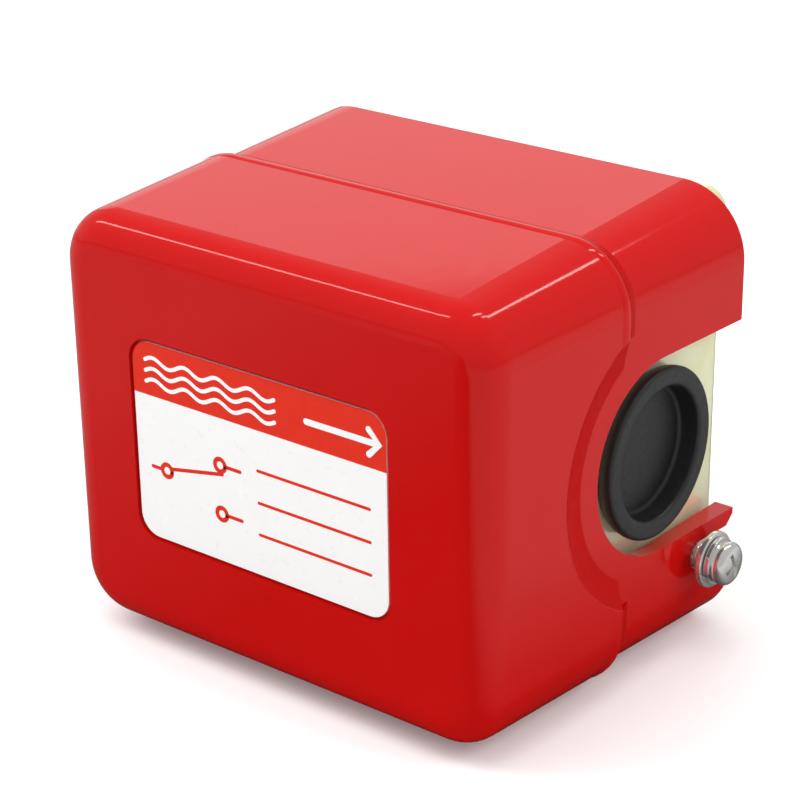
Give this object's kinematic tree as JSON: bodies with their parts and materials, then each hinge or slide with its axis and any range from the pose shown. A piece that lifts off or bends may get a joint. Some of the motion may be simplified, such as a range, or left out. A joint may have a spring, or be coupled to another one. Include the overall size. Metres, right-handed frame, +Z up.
{
  "type": "paddle flow switch",
  "caption": "Paddle flow switch: a sprung paddle on a threaded brass stem works a snap switch inside a red moulded cover with a side cable entry.",
  "frame": {"origin": "on the axis of the pipe thread, where the thread meets the hexagon's shoulder", "axes": "+Y along the stem into the pipe, +X the direction of flow, +Z up with the cover lying on its side"},
  "size_m": [0.0978, 0.107, 0.0722],
  "materials": {
    "cover_red": "gloss, lightly drafted moulding",
    "label_print": "gloss printed plate",
    "yellow_zinc": "yellow passivated zinc plate",
    "grommet_rubber": "matt black rubber",
    "bright_screw": "bright nickel plate",
    "stem_brass": "turned brass",
    "gasket_fibre": "dark rubber sheet",
    "bellows_bronze": "formed bronze",
    "stainless": "satin stainless steel",
    "switch_phenolic": "moulded black resin",
    "plunger_resin": "smooth resin",
    "terminal_brass": "nickelled brass strip",
    "spring_steel": "drawn spring wire"
  },
  "bodies": {
    "base": {"base_bracket": "yellow_zinc", "cable_grommet": "grommet_rubber", "cover_screws": "bright_screw", "cover_flat_washers": "bright_screw", "cover_lock_washers": "bright_screw", "cover_screw_nuts": "bright_screw", "stem_body": "stem_brass", "stem_gasket": "gasket_fibre", "stem_screws": "bright_screw", "earth_screw": "bright_screw", "pivot_pin": "stainless", "bellows": "bellows_bronze", "microswitch_case": "switch_phenolic", "terminal_clamps": "terminal_brass", "terminal_screws": "bright_screw", "switch_bracket": "yellow_zinc", "switch_mounting_screws": "bright_screw", "spring_bracket": "yellow_zinc", "range_spring": "spring_steel"},
    "cover_shell": {"cover": "cover_red", "label_plate": "label_print"},
    "paddle": {"paddle_arm": "stainless", "paddle_blade": "stainless", "paddle_rivets": "stainless", "bellows_cap": "stem_brass", "switch_lever": "stainless", "lever_nut": "bright_screw"},
    "plunger": {"switch_plunger": "plunger_resin"},
    "adjuster": {"adjusting_screw": "stem_brass"},
    "travelling_nut": {"spring_nut": "stem_brass"}
  },
  "joints": [
    {"name": "cover_slide", "type": "slide", "parent": "base", "child": "cover_shell", "axis": [0, -1, 0], "range_m": [0, 0.075]},
    {"name": "paddle_swing", "type": "hinge", "parent": "base", "child": "paddle", "pos_m": [0, -0.0182, 0], "axis": [0, 0, -1], "range_deg": [0, 5], "stiffness_Nm_per_rad": 0.5, "springref_deg": -1.72, "deforming": ["bellows", "range_spring"]},
    {"name": "plunger_press", "type": "slide", "parent": "base", "child": "plunger", "axis": [-1, 0, 0], "range_m": [0, 0.0031]},
    {"name": "range_adjust", "type": "hinge", "parent": "base", "child": "adjuster", "pos_m": [-0.03, -0.037, 0], "axis": [1, 0, 0], "range_deg": [-720, 720]},
    {"name": "nut_travel", "type": "slide", "parent": "base", "child": "travelling_nut", "axis": [1, 0, 0], "range_m": [-0.0014, 0.0014]}
  ],
  "couplings": [
    {"joint": "plunger_press", "follows": "paddle_swing", "m_per_rad": 0.0345},
    {"joint": "range_adjust", "follows": "nut_travel", "rad_per_m": -8976}
  ]
}
